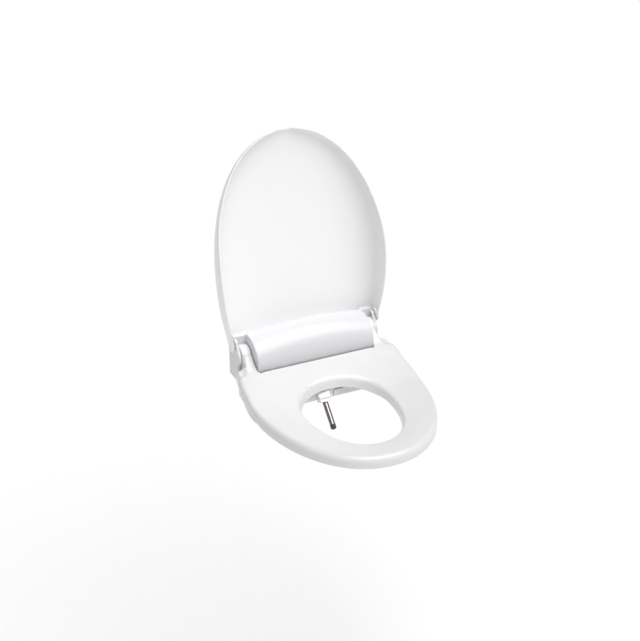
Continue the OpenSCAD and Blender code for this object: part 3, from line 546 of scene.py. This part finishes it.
PAINTS = {
    "white_gloss": finish_of("white_gloss", (0.765, 0.765, 0.77), 0.32, coat=0.25),
    # painted light: the lid is the same white gloss plastic as the seat, given this brighter copy so that it
    # looks more brightly lit
    "lid_white_painted_light": finish_of("lid_white_painted_light", (0.94, 0.94, 0.942), 0.32, coat=0.25),
    "white_case": finish_of("white_case", (0.73, 0.732, 0.75), 0.34, coat=0.15),
    "white_inner": finish_of("white_inner", (0.74, 0.74, 0.75), 0.5),
    "grey_rubber": finish_of("grey_rubber", (0.55, 0.55, 0.56), 0.75, bump=0.02),
    "dark_rubber": finish_of("dark_rubber", (0.03, 0.03, 0.032), 0.7, bump=0.02),
    "steel": finish_of("steel", (0.56, 0.57, 0.58), 0.28, metal=1.0),
    # painted reflection: the colour sits well below real steel to stand in for the dark reflections along the
    # wand
    "polished_steel": finish_of("polished_steel", (0.27, 0.25, 0.24), 0.16, metal=1.0, vary=0.02),
    "plate_steel": finish_of("plate_steel", (0.5, 0.51, 0.53), 0.42, metal=1.0, bump=0.01),
    "dark_plastic": finish_of("dark_plastic", (0.035, 0.036, 0.04), 0.5, bump=0.015),
    "brass": finish_of("brass", (0.72, 0.52, 0.24), 0.3, metal=1.0),
    "board_green": finish_of("board_green", (0.02, 0.16, 0.06), 0.45),
    "foil": finish_of("foil", (0.7, 0.55, 0.3), 0.4, metal=0.7, bump=0.02),
    "valve_blue": finish_of("valve_blue", (0.08, 0.16, 0.32), 0.45),
    "hose": finish_of("hose", (0.7, 0.7, 0.71), 0.45),
    "gear_white": finish_of("gear_white", (0.76, 0.76, 0.72), 0.45),
}

slot_of = {s["node"]: s["material_slot"] for s in frame["record"]["subparts"]}
for node_name, obj in frame["nodes"].items():
    obj.data.materials.clear()
    obj.data.materials.append(PAINTS[slot_of[node_name]])

# small edge roundings on the trim that shows
for node_name in ("wand_hood", "wand_gate", "dryer_flap", "release_button", "power_button", "wash_button",
                  "base_feet", "seat_bumpers", "wand_tip"):
    soft = frame["nodes"][node_name].modifiers.new("soft_edges", "BEVEL")
    soft.width = 0.0004
    soft.segments = 2
    soft.limit_method = "ANGLE"
    soft.angle_limit = math.radians(40)

# ---- visual pieces ----
pts, faces = skin_of(seat_field, (-196, -430, 12), (196, 30, 114), 1.8)
piece("seat_ring", pts, faces, "seat", "white_gloss", ("seat_top_shell", "seat_ears"))

pts, faces = skin_of(cover_field, (-170, -116, 20), (170, 62, 146), 1.5)
piece("cover", pts, faces, "housing", "white_case",
      ("top_cover", "cover_end_walls", "cover_shoulders", "cover_end_caps"))

pts, faces = skin_of(base_field, (-186, -162, -4), (186, 62, 28), 2.0)
piece("base", pts, faces, "housing", "white_case", ("base_tray",))

pts, faces = skin_of(lid_field, (-198, -432, 32), (198, 32, 156), 1.7)
hinge = np.array([0.0, *LID_AXIS])
opened = np.array(Matrix.Rotation(math.radians(-LID_TILT), 3, "X"))
pts = (pts - hinge) @ opened.T + hinge
# the lid uses a brighter copy of the seat's white gloss, painted light that makes it look more brightly lit
# than the seat
piece("lid", pts, faces, "lid", "white_gloss", ("lid_shell",), "lid_white_painted_light")

# ---- floor, light and camera ----
FLOOR_Z = -1.0
FLOOR_REACH = 30.0
floor_mesh = bpy.data.meshes.new("floor")
corner_signs = ((-1, -1), (1, -1), (1, 1), (-1, 1))
floor_corners = [(FLOOR_REACH * u, FLOOR_REACH * v, FLOOR_Z) for u, v in corner_signs]
floor_mesh.from_pydata(floor_corners, [], [(0, 1, 2, 3)])
floor = bpy.data.objects.new("floor", floor_mesh)
bpy.context.scene.collection.objects.link(floor)
floor_mesh.materials.append(finish_of("floor_paint", (0.97, 0.97, 0.97), 0.95))

world = bpy.data.worlds.new("studio")
bpy.context.scene.world = world
world.use_nodes = True
world.node_tree.nodes["Background"].inputs["Color"].default_value = (1, 1, 1, 1)
world.node_tree.nodes["Background"].inputs["Strength"].default_value = 0.2

middle = Vector((0.0, -0.17, 0.2))


def lamp(name, place, size, power):
    light = bpy.data.lights.new(name, "AREA")
    light.shape = "RECTANGLE"
    light.size, light.size_y = size
    light.energy = power
    obj = bpy.data.objects.new(name, light)
    obj.location = place
    obj.rotation_euler = (middle - Vector(place)).to_track_quat("-Z", "Y").to_euler()
    bpy.context.scene.collection.objects.link(obj)


lamp("strip", (-0.7, -1.9, 1.5), (1.2, 0.25), 1.2)

sun_data = bpy.data.lights.new("overhead", "SUN")
sun_data.energy = 2.95
sun_data.angle = 1.0
sun = bpy.data.objects.new("overhead", sun_data)
sun.rotation_euler = Vector((0.16, -0.38, 1.0)).to_track_quat("Z", "Y").to_euler()
bpy.context.scene.collection.objects.link(sun)

cam_data = bpy.data.cameras.new("camera")
cam_data.sensor_width = 36.0
cam_data.sensor_fit = "HORIZONTAL"
cam_data.lens = 77.03
cam = bpy.data.objects.new("camera", cam_data)
aim, away = Vector((-0.0457, -0.170, 0.2267)), Vector((-0.3732, -0.8017, 0.4670))
cam.location = aim + away * 2.7823
cam.rotation_euler = (-away).to_track_quat("-Z", "Y").to_euler()
bpy.context.scene.collection.objects.link(cam)
bpy.context.scene.camera = cam
bpy.context.scene.view_settings.view_transform = "Standard"
